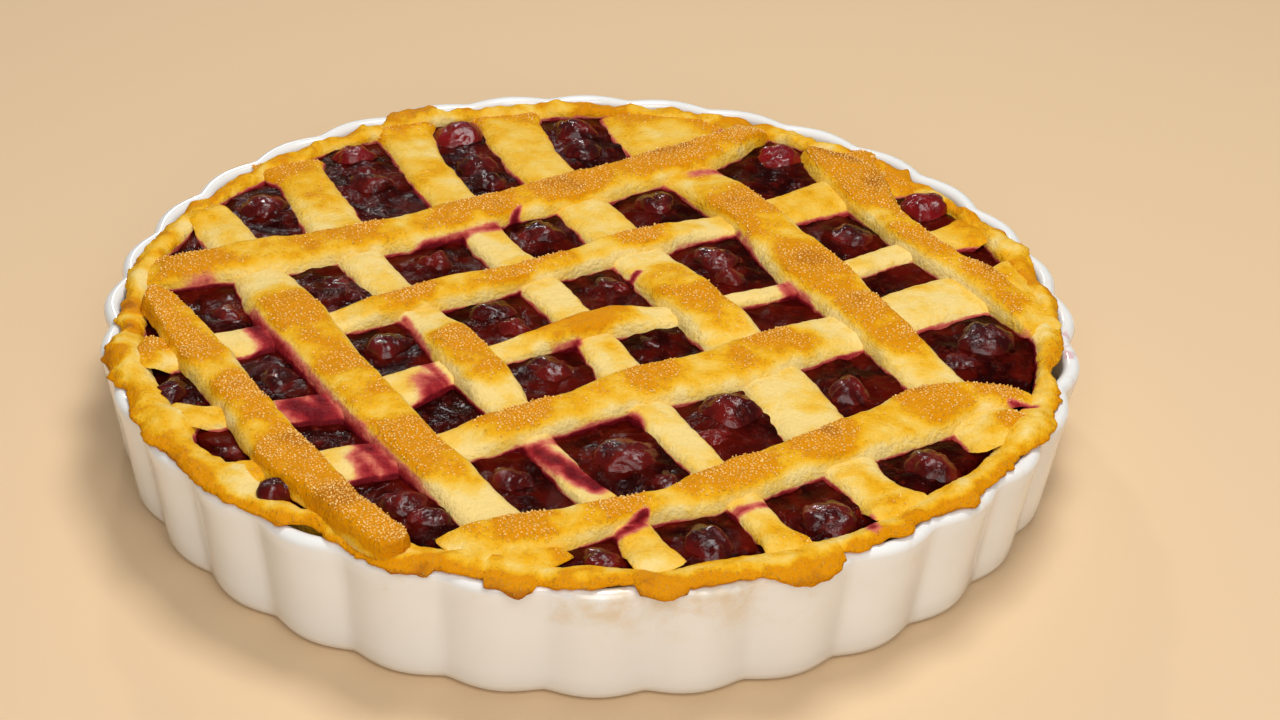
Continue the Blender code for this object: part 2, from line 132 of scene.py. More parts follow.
class Value:
    # a socket on which plain arithmetic builds Math nodes
    def __init__(self, graph, socket):
        self.graph = graph
        self.socket = socket

    def math(self, operation, *others):
        inputs = [self, *others]
        return self.graph.node("ShaderNodeMath", {"operation": operation}, dict(enumerate(inputs)))

    def __add__(self, other):
        return self.math("ADD", other)

    def __radd__(self, other):
        return self.math("ADD", other)

    def __mul__(self, other):
        return self.math("MULTIPLY", other)

    def __rmul__(self, other):
        return self.math("MULTIPLY", other)

    def __sub__(self, other):
        return self.math("SUBTRACT", other)

    def __rsub__(self, other):
        return self.graph.node("ShaderNodeMath", {"operation": "SUBTRACT"}, {0: other, 1: self})

    def ramp(self, low, high):
        settings = {"interpolation_type": "SMOOTHSTEP"}
        inputs = {"Value": self, "From Min": low, "From Max": high}
        return self.graph.node("ShaderNodeMapRange", settings, inputs)


class Graph:
    def __init__(self, name):
        self.material = bpy.data.materials.new(name)
        self.material.use_nodes = True
        self.tree = self.material.node_tree
        self.shader = self.tree.nodes["Principled BSDF"]
        self.place = self.node("ShaderNodeTexCoord", {}, {}, "Object")

    def node(self, kind, settings, inputs, output=0):
        node = self.tree.nodes.new(kind)
        for key, value in settings.items():
            setattr(node, key, value)
        for key, value in inputs.items():
            self.connect(value, node.inputs[key])
        return Value(self, node.outputs[output])

    def connect(self, value, socket):
        if isinstance(value, Value):
            self.tree.links.new(value.socket, socket)
        elif socket.type == "RGBA":
            socket.default_value = (*value, 1.0)
        else:
            socket.default_value = value

    def noise(self, scale, detail=3.0, roughness=0.5, distortion=0.0):
        inputs = {"Vector": self.place, "Scale": scale, "Detail": detail, "Roughness": roughness,
                  "Distortion": distortion}
        return self.node("ShaderNodeTexNoise", {"noise_dimensions": "3D"}, inputs)

    def cells(self, scale):
        return self.node("ShaderNodeTexVoronoi", {"feature": "F1"}, {"Vector": self.place, "Scale": scale})

    def attribute(self, name):
        return self.node("ShaderNodeAttribute", {"attribute_name": name}, {}, "Fac")

    def mix(self, share, low, high):
        return self.node("ShaderNodeMix", {"data_type": "RGBA"}, {0: share, 6: low, 7: high}, 2)

    def bump(self, height, distance, strength, below=None):
        inputs = {"Height": height, "Distance": distance, "Strength": strength}
        if below:
            inputs["Normal"] = below
        return self.node("ShaderNodeBump", {}, inputs)

    def finish(self, **sockets):
        for name, value in sockets.items():
            self.connect(value, self.shader.inputs[name.replace("_", " ")])
        return self.material


# The dish

dish = {
    "rimRadius": 140.0,
    "baseRadius": 134.6,
    "height": 38.0,
    "wall": 5.0,
    "floor": 5.0,
    "flutes": 32,
    "fluteDepth": 3.0,
    "fluteTurn": math.radians(-94.1),
    "stepsPerFlute": 14,
    "glazeColor": (0.85, 0.855, 0.845),
    "cloudColor": (0.83, 0.82, 0.80),
    "stainColor": (0.66, 0.43, 0.12),
    "juiceColor": (0.62, 0.22, 0.26),
    "bump": 0.0004,
}


def flute(angle):
    # how far the wall is drawn in: nothing in the middle of a flute, most in the groove between two
    wave = math.sin(dish["flutes"] / 2 * (angle - dish["fluteTurn"]))
    return dish["fluteDepth"] * (1.0 - math.sqrt(wave * wave + 0.012) / math.sqrt(1.012))


def wallRadius(z, inner=False):
    lean = (dish["rimRadius"] - dish["baseRadius"]) / dish["height"]
    return dish["baseRadius"] + lean * z - (dish["wall"] if inner else 0.0)


def dishProfile():
    # half of the dish's section as (radius, z): underside, foot, wall, lip, inside and floor
    top = dish["height"]
    floor = dish["floor"]
    half = dish["wall"] / 2
    middle = dish["rimRadius"] - half
    lip = [(middle + half * math.sin(a), top - half + half * math.cos(a))
           for a in [math.radians(t) for t in range(90, -91, -15)]]
    outer = [(wallRadius(z), z) for z in (4.0, 9.0, 16.0, 24.0, 31.0)]
    foot = [(130.5, 0.0), (132.6, 0.4), (134.0, 1.6)]
    inner = [(wallRadius(z, True), z) for z in (31.0, 24.0, 16.0, 11.0)]
    inside = [(127.6, floor + 2.2), (124.5, floor + 0.4), (119.0, floor), (70.0, floor), (0.0, floor)]
    return [(0.0, 0.0), (70.0, 0.0), (118.0, 0.0)] + foot + outer + lip + inner + inside


def glazeMaterial():
    g = Graph("glaze")
    x, y, z = [g.node("ShaderNodeSeparateXYZ", {}, {0: g.place}, k) for k in range(3)]
    cloud = g.noise(22.0, 3.0, 0.55)
    spots = g.noise(95.0, 4.0, 0.6)
    # baked stains below the lip in front, and a trace of juice on the lip at the right
    front = (y * -1.0).ramp(0.02, 0.12)
    high = z.ramp(0.018, 0.036)
    stain = front * high * (cloud * 0.6 + spots * 0.5).ramp(0.58, 0.72)
    side = x.ramp(0.118, 0.128) * (y * -1.0).ramp(-0.03, 0.0) * (y * -1.0).ramp(0.04, 0.02)
    juice = side * g.noise(120.0, 2.0).ramp(0.56, 0.66) * z.ramp(0.034, 0.037)
    base = g.mix(cloud.ramp(0.35, 0.7), dish["glazeColor"], dish["cloudColor"])
    stained = g.mix(stain * 0.5, base, dish["stainColor"])
    color = g.mix(juice * 0.55, stained, dish["juiceColor"])
    roughness = 0.13 + cloud * 0.10 + stain * 0.25
    waves = g.bump(g.noise(60.0, 2.0), dish["bump"], 0.35)
    return g.finish(Base_Color=color, Roughness=roughness, Coat_Weight=0.35, Coat_Roughness=0.06,
                    Normal=waves, IOR=1.5)


def makeDish():
    around = dish["flutes"] * dish["stepsPerFlute"]
    points = dishProfile()
    bm = bmesh.new()
    verts = [bm.verts.new((r, 0.0, z)) for r, z in points]
    edges = [bm.edges.new(pair) for pair in zip(verts, verts[1:])]
    bmesh.ops.rotate(bm, verts=verts, matrix=Matrix.Rotation(dish["fluteTurn"], 3, "Z"))
    bmesh.ops.spin(bm, geom=verts + edges, axis=(0, 0, 1), cent=(0, 0, 0), angle=2 * math.pi,
                   steps=around, use_merge=True)
    bmesh.ops.remove_doubles(bm, verts=bm.verts, dist=0.0005)
    for vert in bm.verts:
        radius = math.hypot(vert.co.x, vert.co.y)
        if radius < 60.0:
            continue
        share = ramp(radius, 112.0, 130.0)
        scale = 1.0 - share * flute(math.atan2(vert.co.y, vert.co.x)) / radius
        vert.co.x *= scale
        vert.co.y *= scale
    obj = makeObject("pieDish", bm, glazeMaterial())
    finishPiece(obj, "porcelain", "dish")


# The pastry border

border = {
    "bodyRadius": 130.4,
    "innerRadius": 130.2,
    "innerSlope": 3.4,
    "frontShift": 3.2,
    "depth": 9.0,
    "lift": 2.9,
    "backDrop": 2.3,
    "lapLift": 1.65,
    "gap": 0.25,
    "around": 900,
    "perimeter": 44,
    # laps over the lip: (degrees, half width, reach, droop, rise)
    "laps": (
        (-145.0, 38.0, 2.6, 0.0, 0.0), (-163.0, 7.0, 4.2, 0.0, 2.0), (-148.0, 4.0, 2.2, 0.0, 0.6),
        (-133.0, 4.0, 1.6, 0.0, 0.2), (-110.0, 5.0, 1.4, 0.6, 0.0), (-97.5, 3.0, 1.4, 1.3, 0.0),
        (-82.0, 3.0, 1.4, 1.0, 0.0), (-66.5, 5.0, 3.6, 3.0, 0.2), (-44.0, 4.5, 2.6, 0.0, 0.4),
        (-27.0, 6.0, 4.4, 0.0, 1.6), (17.0, 4.0, 2.6, 0.0, 0.8), (43.0, 7.0, 3.0, 0.0, 1.2),
        (118.0, 13.0, 3.0, 0.0, 2.2),
    ),
    # torn places on the outside: (degrees, half width, depth)
    "tears": (
        (-170.0, 3.0, 3.0), (-121.0, 3.0, 2.4), (-56.0, 3.0, 2.0), (-13.0, 5.0, 3.2), (30.0, 3.0, 2.0),
        (127.0, 3.0, 2.6),
    ),
    # broad places on the inside: (degrees, half width, reach)
    "broad": (
        (-147.5, 4.0, 5.0), (-133.5, 4.0, 5.0), (-117.0, 7.0, 6.5), (-100.0, 8.0, 7.0), (-3.0, 5.0, 3.0),
    ),
}


def borderTop(degrees):
    back = smoothstep((math.sin(math.radians(degrees)) - 0.15) / 0.75)
    lift = border["lift"] - border["backDrop"] * back
    for centre, half, _, _, rise in border["laps"]:
        lift += rise * hump(degrees, centre, half)
    return lift + 0.25 * math.sin(math.radians(degrees) * 23.0)


def borderOuter(degrees):
    angle = math.radians(degrees)
    radius = dish["rimRadius"] - dish["wall"] - border["frontShift"] * math.sin(angle)
    radius += 0.7 * math.sin(19.0 * angle + 1.0) + 0.5 * math.sin(31.0 * angle)
    for centre, half, reach, _, _ in border["laps"]:
        radius += reach * hump(degrees, centre, half)
    for centre, half, depth in border["tears"]:
        radius -= depth * hump(degrees, centre, half)
    radius = min(radius, dish["rimRadius"])
    lowest = min(borderTop(degrees + turn) for turn in (-2.0, 0.0, 2.0))
    inside = border["bodyRadius"] + 0.4
    return inside + smoothstep((lowest - border["lapLift"]) / 0.5) * max(radius - inside, 0.0)


def borderInner(degrees):
    side = math.sin(math.radians(degrees))
    back = smoothstep((side - 0.2) / 0.6)
    top = border["innerRadius"] - border["frontShift"] * side - 1.4 * back
    top += 0.6 * math.sin(math.radians(degrees) * 17.0)
    top -= sum(reach * hump(degrees, centre, half) for centre, half, reach in border["broad"])
    return top, top - border["innerSlope"] + 1.6 * side


def borderSection(degrees):
    # the border's cross section as (radius, lift over the rim), from its foot round the outside to the top
    top, low = borderInner(degrees)
    outer = borderOuter(degrees)
    lift = borderTop(degrees)
    body = border["bodyRadius"]
    overLip = border["gap"] if lift > border["lapLift"] else lift - border["lapLift"] + border["gap"]
    droop = sum(lap[3] * hump(degrees, lap[0], lap[1]) for lap in border["laps"])
    hang = outer - 1.0
    if droop > 0.05:
        hang = max(hang, dish["rimRadius"] + border["gap"])
    hang = max(hang, body + 0.1)
    outer = max(outer, hang + 0.3 + min(droop, 1.0) * 1.7)
    edgeLift = overLip + (lift - overLip) * (0.40 if lift > border["lapLift"] else 0.9)
    return ((low, -border["depth"]), (body, -border["depth"]), (body, overLip), (hang, overLip),
            (hang + 0.1, overLip - droop), (outer, overLip - droop * 0.9 + 0.3),
            (outer + 0.3, (edgeLift + overLip) / 2), (outer - 0.9, edgeLift),
            (max(top, (outer + top) / 2 - 0.5), lift - 0.1), (top, lift - 0.4),
            (low + 0.3 * (top - low), lift - 1.6), (low, lift - 4.0))


crustTones = {
    "cream": (0.84, 0.63, 0.23),
    "pale": (0.83, 0.53, 0.085),
    "yellow": (0.80, 0.41, 0.010),
    "golden": (0.67, 0.255, 0.001),
    "brown": (0.42, 0.13, 0.005),
    "sparkle": (0.88, 0.56, 0.14),
    "thinJuice": (0.62, 0.15, 0.10),
    "middlingJuice": (0.33, 0.020, 0.026),
    "deepJuice": (0.12, 0.004, 0.008),
}


def crustMaterial(name, tones):
    g = Graph(name)
    bake = g.attribute("bake")
    juice = g.attribute("juice")
    broad = g.noise(50.0, 3.0, 0.5)
    middle = g.noise(190.0, 4.0, 0.55)
    fine = g.noise(800.0, 3.0, 0.6)
    grains = g.cells(1150.0)
    level = bake + (broad - 0.5) * 0.55 + (middle - 0.5) * 0.52 + (fine - 0.5) * 0.34
    pale = g.mix(level.ramp(0.0, 0.30), tones["cream"], tones["pale"])
    yellow = g.mix(level.ramp(0.22, 0.55), pale, tones["yellow"])
    golden = g.mix(level.ramp(0.46, 0.78), yellow, tones["golden"])
    brown = g.mix(level.ramp(1.05, 1.65), golden, tones["brown"])
    sugar = (0.36 - grains).ramp(0.0, 0.14) * level.ramp(0.35, 0.7) * fine.ramp(0.42, 0.60)
    sparkle = g.mix(sugar * 0.35, brown, tones["sparkle"])
    # the juice attribute also holds the painted shade at the foot of the walls, next to the jelly
    stain = (juice + (middle - 0.5) * 0.7 + (broad - 0.5) * 0.5 + (fine - 0.5) * 0.25).ramp(0.12, 1.30)
    thin = g.mix(stain.ramp(0.0, 0.45), sparkle, tones["thinJuice"])
    middling = g.mix(stain.ramp(0.35, 0.75), thin, tones["middlingJuice"])
    color = g.mix(stain.ramp(0.65, 1.0), middling, tones["deepJuice"])
    roughness = 0.50 + fine * 0.16 - level.ramp(0.4, 0.9) * 0.12 - stain * 0.24
    lumps = g.bump(middle, 0.0011, 0.6)
    pores = g.bump(fine, 0.00065, 0.9, lumps)
    normal = g.bump(sugar - grains * 0.4, 0.00030, 0.7, pores)
    return g.finish(Base_Color=color, Roughness=roughness, Normal=normal, Specular_IOR_Level=0.04)


def makeBorder(material):
    perimeter = border["perimeter"]
    sections = {}

    def section(j):
        if j not in sections:
            degrees = 360.0 * j / border["around"]
            points = [Vector(p) for p in borderSection(degrees)]
            lengths = [(points[(k + 1) % len(points)] - p).length for k, p in enumerate(points)]
            total = sum(lengths)
            spread = []
            k, gone = 0, 0.0
            for i in range(perimeter):
                want = total * i / perimeter
                while gone + lengths[k] < want:
                    gone += lengths[k]
                    k += 1
                share = (want - gone) / lengths[k]
                spread.append(points[k].lerp(points[(k + 1) % len(points)], share))
            rounded = [(spread[i - 1] + spread[i] * 2.0 + spread[(i + 1) % perimeter]) / 4.0
                       for i in range(perimeter)]
            sections[j] = rounded
        return sections[j]

    def place(i, j):
        r, lift = section(j)[i]
        angle = 2 * math.pi * j / border["around"]
        x, y, z = r * math.cos(angle), r * math.sin(angle), dish["height"] + lift
        top = ramp(lift, -4.0, 0.5)
        push = 0.55 * rough(x, y, z, 7.0, 3.1) + 0.35 * rough(x, y, z, 2.6, 8.4)
        ragged = 1.0 + 2.2 * ramp(r, 132.0, 137.0)
        out = top * (push * ragged + 0.4 * rough(x, y, 0.0, 1.6, 5.5))
        back = ramp(y, 0.0, 70.0)
        up = (0.55 + 1.1 * back) * rough(x, y, 0.0, 8.0, 1.7)
        up += (0.35 + 0.6 * back) * rough(x, y, 0.0, 3.0, 4.2)
        up = top * (up + 0.5 * back)
        x += out * math.cos(angle)
        y += out * math.sin(angle)
        return (x, y, z + up)

    bm = wrapGrid(perimeter, border["around"], place, True, True)
    obj = makeObject("pastryBorder", bm, material)

    def bake(x, y, z):
        radius = math.hypot(x, y)
        back = ramp(y, -20.0, 60.0)
        outer = borderOuter(math.degrees(math.atan2(y, x)))
        edge = ramp(radius, outer - 5.5, outer + 0.5) * (1.0 - 0.4 * back)
        front = ramp(-y, 40.0, 110.0)
        under = ramp(dish["height"] + 1.6 - z, 0.0, 1.2) * ramp(radius, 133.0, 136.0)
        lumps = 0.40 * rough(x, y, z, 9.0, 6.0) + 0.30 * rough(x, y, z, 3.5, 2.0)
        base = 0.28 + 0.08 * front + 0.10 * back
        return base + (0.40 + 0.38 * front) * edge + 0.2 * under + lumps + toastAt(x, y)

    setAttribute(obj, "bake", bake)
    setAttribute(obj, "juice", juiceAt)
    finishPiece(obj, "border_crust", "crust_border")


# The lattice

lattice = {
    "weave": 1.5,
    "crest": 1.6,
    "edgeLift": 1.5,
    "rise": 2.2,
    "plateau": 8.5,
    "sag": 0.5,
    "step": 1.1,
    "coarseStep": 9.0,
    "topPoints": 28,
    "bottomPoints": 8,
    "domeRadius": 130.3,
    "backDrop": 1.2,
    "jellyDepth": 2.2,
    "endRadius": 130.6,
    "endRounding": 3.0,
    "endSunk": 1.3,
    "overBorder": "strip_down_1",
    "tongueLift": 2.4,
    "tongueRounding": 5.0,
    "toastStrength": 1.05,
    "juiceStrength": 0.92,
    # strength of the dark line at the foot of the walls, juice and painted shade together
    "lowJuiceAndShade": 0.85,
    "footLineRadius": 129.8,
    # each strip: (x, y, width) along its middle
    "down": {
        "strip_down_1": ((-125, -7, 12), (-119, -16, 13), (-105, -40, 15), (-91, -64, 14), (-78, -87, 18),
                         (-70, -98, 16), (-54, -119, 13), (-45, -128, 11)),
        "strip_down_2": ((-128, 58, 17), (-115, 44, 16), (-109, 32, 17), (-97, 9, 18), (-85, -15, 22),
                         (-72, -38, 20), (-58, -61, 19), (-44, -83, 18), (-28, -104, 17), (-17, -120, 19),
                         (-7, -137, 20)),
        "strip_down_3": ((-101, 104, 30), (-96, 81, 23), (-90, 69, 18), (-80, 45, 20), (-69, 21, 16),
                         (-56, -1, 14), (-42, -23, 16), (-29, -45, 17), (-17, -69, 12), (-4, -91, 10),
                         (11, -112, 13), (23, -138, 13)),
        "strip_down_4": ((-67, 128, 26), (-63, 111, 21), (-56, 87, 17), (-46, 64, 17), (-30, 30, 15),
                         (-16, 8, 15), (2, -25, 14), (12, -49, 16), (24, -71, 13), (37, -93, 12),
                         (49, -115, 12), (58, -132, 22)),
        "strip_down_5": ((-32, 133, 27), (-29, 116, 22), (-21, 91, 21), (-10, 68, 20), (8, 34, 21),
                         (28, 0, 21), (47, -33, 21), (63, -69, 22), (75, -92, 16), (90, -112, 26)),
        "strip_down_6": ((20, 133, 46), (21, 113, 38), (25, 89, 25), (39, 66, 21), (52, 44, 21),
                         (64, 20, 24), (77, -3, 20), (95, -38, 19), (108, -61, 21), (124, -78, 26)),
        "strip_down_7": ((72, 120, 24), (80, 85, 24), (87, 61, 16), (98, 38, 13), (114, 18, 16),
                         (127, -4, 14), (134, -18, 12)),
    },
    "cross": {
        "strip_cross_1": ((-36, -132, 17), (-27, -123, 20), (-4, -113, 15), (19, -103, 11), (30, -97, 16),
                          (61, -76, 17), (82, -62, 20), (92, -54, 22), (103, -48, 16), (117, -46, 9),
                          (131, -45, 10)),
        "strip_cross_2": ((-107, -99, 14), (-89, -93, 10), (-65, -87, 17), (-40, -80, 16), (-7, -62, 16),
                          (14, -48, 19), (37, -37, 21), (58, -22, 20), (79, -8, 22), (100, 7, 23),
                          (122, 18, 26), (136, 21, 27)),
        "strip_cross_3": ((-131, -73, 22), (-113, -67, 13), (-88, -64, 12), (-63, -58, 17), (-52, -51, 18),
                          (-31, -35, 11), (-9, -23, 10), (2, -16, 13), (26, -7, 11), (40, 1, 8), (56, 9, 8),
                          (71, 20, 11), (92, 35, 11), (113, 50, 17), (126, 58, 26)),
        "strip_cross_4": ((-137, -37, 20), (-120, -36, 18), (-108, -32, 16), (-84, -22, 14), (-60, -11, 12),
                          (-38, 2, 15), (-20, 10, 11), (7, 28, 13), (29, 41, 13), (51, 55, 17),
                          (72, 70, 21), (93, 86, 25), (104, 94, 28)),
        "strip_cross_5": ((-137, 10, 24), (-120, 10, 17), (-96, 19, 20), (-72, 28, 17), (-50, 39, 19),
                          (-28, 53, 18), (-7, 66, 20), (14, 81, 19), (34, 96, 17), (46, 108, 13),
                          (54, 121, 11)),
    },
    "downOnTop": {
        "strip_down_1": ("strip_cross_4", "strip_cross_3", "strip_cross_2"),
        "strip_down_2": ("strip_cross_4", "strip_cross_3", "strip_cross_2"),
        "strip_down_3": ("strip_cross_3",),
        "strip_down_5": ("strip_cross_3",),
        "strip_down_6": ("strip_cross_4", "strip_cross_3", "strip_cross_2"),
        "strip_down_7": ("strip_cross_4", "strip_cross_3", "strip_cross_2"),
    },
}

# Places baked darker: (x, y, reach, strength)
toasted = (
    (-70, 35, 12, 0.35), (-35, 50, 12, 0.35), (-10, 65, 12, 0.30), (20, 92, 14, 0.45), (-52, -3, 9, 0.50),
    (-20, 20, 10, 0.25), (12, 38, 9, 0.40), (3, -10, 8, 0.30), (-20, -62, 14, 0.45), (10, -42, 14, 0.35),
    (50, -22, 12, 0.35), (-15, -112, 12, 0.50), (5, -105, 10, 0.40), (38, -85, 14, 0.50),
    (62, -68, 14, 0.50), (92, -47, 14, 0.55), (110, -42, 10, 0.40), (-108, -34, 12, 0.30),
    (-92, -55, 15, 0.55), (-75, -82, 15, 0.55), (-62, -108, 12, 0.40), (-80, -15, 16, 0.40),
    (-68, -40, 16, 0.45), (-45, -78, 14, 0.45), (-35, -28, 12, 0.50), (-82, 55, 9, 0.35),
    (5, -28, 9, 0.35), (-50, 78, 10, 0.45),
    (22, 15, 12, 0.40), (30, -3, 10, 0.25), (72, -84, 9, 0.40), (45, 55, 12, 0.35), (65, 22, 15, 0.50),
    (75, 0, 13, 0.50), (90, -20, 12, 0.40), (85, 75, 12, 0.40), (98, 40, 9, 0.40), (115, 22, 10, 0.45),
    (80, 96, 12, 0.50), (97, 84, 10, 0.50), (-131, -40, 7, 0.90), (-131, -12, 6, 1.00),
    (-128, -24, 5, 1.00), (120, 30, 12, 0.35), (30, -132, 10, 0.30), (-60, 118, 12, 0.35),
    (0, 128, 14, 0.35), (45, 120, 12, 0.30),
)

# Juice on the pastry: from (x, y) to (x, y), reach, highest over the dome, strength
juiceRuns = (
    ((-98, -16), (-68, -66), 4.0, 1.8, 1.10), ((-68, -66), (-42, -104), 4.0, 1.8, 1.10),
    ((-90, -32), (-88, -40), 4.0, 0.6, 1.0), ((-79, -62), (-72, -66), 6.5, 0.8, 1.25),
    ((-60, -85), (-54, -96), 4.0, 0.8, 1.1), ((-44, -48), (-40, -58), 6.0, 0.6, 1.15),
    ((-45, -40), (-31, -62), 2.5, 2.0, 1.0), ((-14, -80), (2, -96), 4.0, 0.8, 1.2),
    ((-17, -80), (12, -64), 4.0, -0.2, 1.1), ((-113, 2), (-106, -2), 6.0, 2.2, 0.75),
    ((-50, 28), (-30, 40), 3.0, 0.4, 1.0), ((-25, 44), (-23, 50), 1.2, 2.0, 1.2),
    ((26, 31), (43, 40), 2.2, 0.6, 0.9), ((44, 36), (49, 18), 2.4, 1.8, 0.9),
    ((56, 9), (60, 3), 3.6, 0.8, 1.0), ((9, 8), (13, 13), 1.6, 2.0, 1.2),
    ((30, 79), (48, 86), 3.6, 0.2, 1.1), ((122, -14), (117, -37), 4.4, 4.0, 1.0),
    ((0, -122), (14, -112), 2.0, 1.0, 1.0), ((38, -105), (50, -99), 2.2, 1.0, 0.9),
    ((-53, -16), (-46, -34), 2.0, 2.0, 0.9), ((-34, 1), (-22, 4), 2.0, 0.5, 0.7),
    ((-14, -28), (-4, -26), 1.8, 0.4, 0.8), ((72, -106), (73, -111), 2.4, 2.0, 1.1),
    ((115, -50), (121, -51), 1.8, 4.0, 1.1), ((10, -114), (15, -109), 1.2, 3.0, 1.2),
)


def smoothPath(points, step):
    # an even walk along a smooth curve through (x, y, width), as (place, width, distance)
    pts = [Vector((float(x), float(y), float(w))) for x, y, w in points]
    pts = [2 * pts[0] - pts[1]] + pts + [2 * pts[-1] - pts[-2]]
    fine = []
    for a, b, c, d in zip(pts, pts[1:], pts[2:], pts[3:]):
        for k in range(12):
            t = k / 12
            fine.append(0.5 * (2 * b + (c - a) * t + (2 * a - 5 * b + 4 * c - d) * t * t
                               + (3 * b - a - 3 * c + d) * t ** 3))
    fine.append(pts[-2])
    lengths = [0.0]
    for p, q in zip(fine, fine[1:]):
        lengths.append(lengths[-1] + (q - p).xy.length)
    count = max(2, round(lengths[-1] / step))
    path = []
    i = 0
    for k in range(count + 1):
        want = lengths[-1] * k / count
        while i < len(fine) - 2 and lengths[i + 1] < want:
            i += 1
        share = (want - lengths[i]) / (lengths[i + 1] - lengths[i])
        spot = fine[i].lerp(fine[i + 1], share)
        path.append((spot.xy, spot.z, want))
    return path


def crossing(pathA, pathB):
    # how far along the first path the second one crosses it
    for (p, _, startA), (q, _, endA) in zip(pathA, pathA[1:]):
        for (u, _, _), (v, _, _) in zip(pathB, pathB[1:]):
            r, w = q - p, v - u
            cross = r.x * w.y - r.y * w.x
            if abs(cross) < 1e-9:
                continue
            t = ((u - p).x * w.y - (u - p).y * w.x) / cross
            k = ((u - p).x * r.y - (u - p).y * r.x) / cross
            if 0.0 <= t < 1.0 and 0.0 <= k < 1.0:
                return startA + t * (endA - startA)
    return None


def weaveMarks(name, paths):
    down = name in lattice["down"]
    onTopOf = lattice["downOnTop"]
    marks = []
    for other in (lattice["cross"] if down else lattice["down"]):
        at = crossing(paths[name], paths[other])
        if at is None:
            continue
        onTop = other in onTopOf.get(name, ()) if down else name not in onTopOf.get(other, ())
        marks.append((at, 1.0 if onTop else -1.0))
    return sorted(marks)


def weaveLevel(marks, at):
    # 1 where the strip lies on top, -1 where it lies below, with flats at the crossings
    if at <= marks[0][0]:
        return marks[0][1]
    for (a, levelA), (b, levelB) in zip(marks, marks[1:]):
        if at > b:
            continue
        plateau = lattice["plateau"]
        share = (at - a - plateau) / max(b - a - 2 * plateau, 0.1)
        level = levelA + (levelB - levelA) * smoothstep(share)
        if levelA == levelB == 1.0:
            level -= lattice["sag"] * math.sin(math.pi * min(max(share, 0.0), 1.0))
        return level
    return marks[-1][1]


def dome(x, y):
    # the lattice's low places lie on this shallow dome
    share = min((x * x + y * y) / lattice["domeRadius"] ** 2, 1.15)
    back = smoothstep((y - 30.0) / 100.0)
    lift = lattice["edgeLift"] + lattice["rise"] * (1.0 - share) - lattice["backDrop"] * back
    return dish["height"] + lift


def jellyLevel(x, y):
    return dome(x, y) - lattice["jellyDepth"]


def nearRun(x, y, start, end):
    alongX, alongY = end[0] - start[0], end[1] - start[1]
    share = ((x - start[0]) * alongX + (y - start[1]) * alongY) / (alongX * alongX + alongY * alongY)
    share = min(max(share, 0.0), 1.0)
    return math.hypot(x - start[0] - alongX * share, y - start[1] - alongY * share)


def juiceAt(x, y, z):
    above = z - dome(x, y)
    total = 0.0
    for start, end, reach, highest, strength in juiceRuns:
        away = nearRun(x, y, start, end)
        if away < reach * 1.7:
            fade = ramp(1.7 - away / reach, 0.0, 1.7) * ramp(highest + 1.6 - above, 0.0, 2.6)
            total = max(total, lattice["juiceStrength"] * strength * fade)
    # and a dark red line all round where the pastry meets the jelly: partly juice soaked in, partly painted
    # shade at the foot of the walls
    low = ramp(jellyLevel(x, y) + 1.0 - z, 0.0, 0.9)
    low *= ramp(lattice["footLineRadius"] - math.hypot(x, y), 0.0, 1.5)
    return min(total + lattice["lowJuiceAndShade"] * low, 1.3)


def toastAt(x, y):
    total = 0.0
    for tx, ty, reach, strength in toasted:
        if abs(x - tx) < reach and abs(y - ty) < reach:
            away = math.hypot(x - tx, y - ty)
            total = max(total, lattice["toastStrength"] * strength * ramp(reach - away, 0.0, reach * 0.9))
    return total


